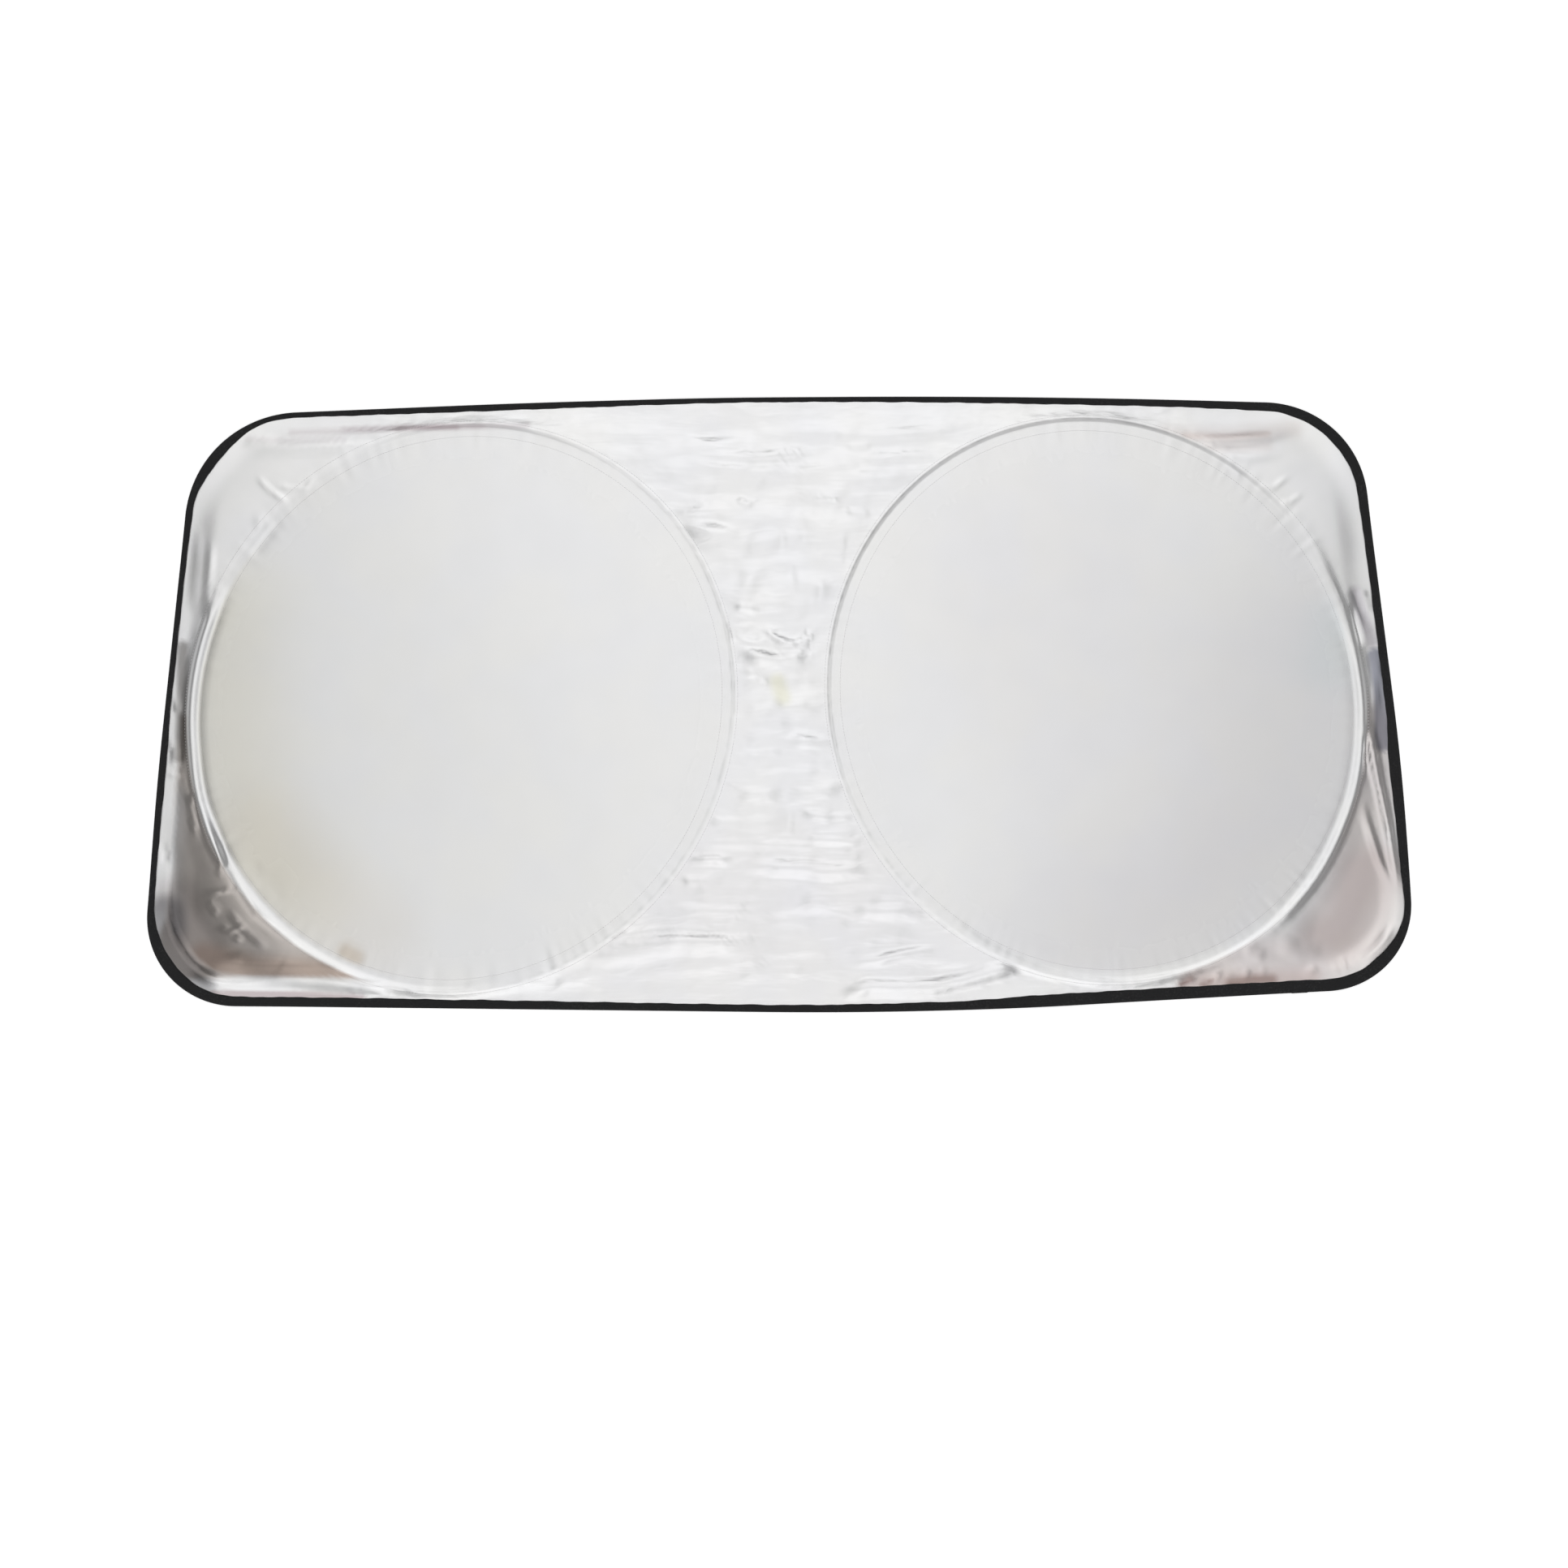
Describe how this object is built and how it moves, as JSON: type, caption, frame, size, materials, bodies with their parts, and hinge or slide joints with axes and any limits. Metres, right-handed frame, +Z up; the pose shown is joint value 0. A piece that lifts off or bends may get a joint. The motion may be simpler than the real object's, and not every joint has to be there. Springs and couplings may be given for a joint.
{
  "type": "windscreen sunshade",
  "caption": "Twist-fold windscreen sunshade, a silver cloth panel held open by spring-wire hoops and bound round its edge with black tape.",
  "frame": {"origin": "on the ground, under the middle of the shade's outline", "axes": "+X along the shade's length, +Y towards its top edge, +Z up out of its silver face"},
  "size_m": [1.4502, 0.7072, 0.0077],
  "materials": {
    "silver_cloth": "satin metallised coating on a fine plain weave",
    "spring_steel": "bare drawn wire",
    "crimp_sleeve": "plain",
    "casing_tape": "woven tape",
    "edge_binding": "matt woven tape"
  },
  "bodies": {
    "root": {"silver_panel": "silver_cloth", "left_hoop_wire": "spring_steel", "left_hoop_ferrule": "crimp_sleeve", "left_casing_tape": "casing_tape", "right_hoop_wire": "spring_steel", "right_hoop_ferrule": "crimp_sleeve", "right_casing_tape": "casing_tape", "edge_binding": "edge_binding"}
  },
  "joints": []
}
